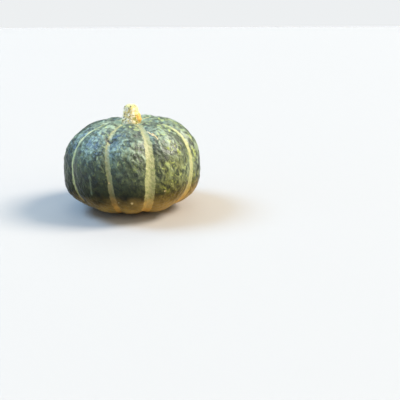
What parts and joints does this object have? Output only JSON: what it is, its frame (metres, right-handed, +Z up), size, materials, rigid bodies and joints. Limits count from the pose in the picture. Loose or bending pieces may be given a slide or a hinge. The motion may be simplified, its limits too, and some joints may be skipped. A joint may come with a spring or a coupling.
{
  "type": "kabocha squash",
  "caption": "Whole kabocha squash with a ribbed dark green rind, pale stripes in the grooves and a short corky stem.",
  "frame": {"origin": "on the surface it stands on, under the middle of the fruit's bounding box", "axes": "+Z up through the stem, -Y towards the side with the broad pale stripe just right of the middle, +X to the right of that side"},
  "size_m": [0.1674, 0.1698, 0.1295],
  "materials": {
    "rind": "satin",
    "cork": "matte"
  },
  "bodies": {
    "root": {"squash": "rind", "stem": "cork"}
  },
  "joints": []
}
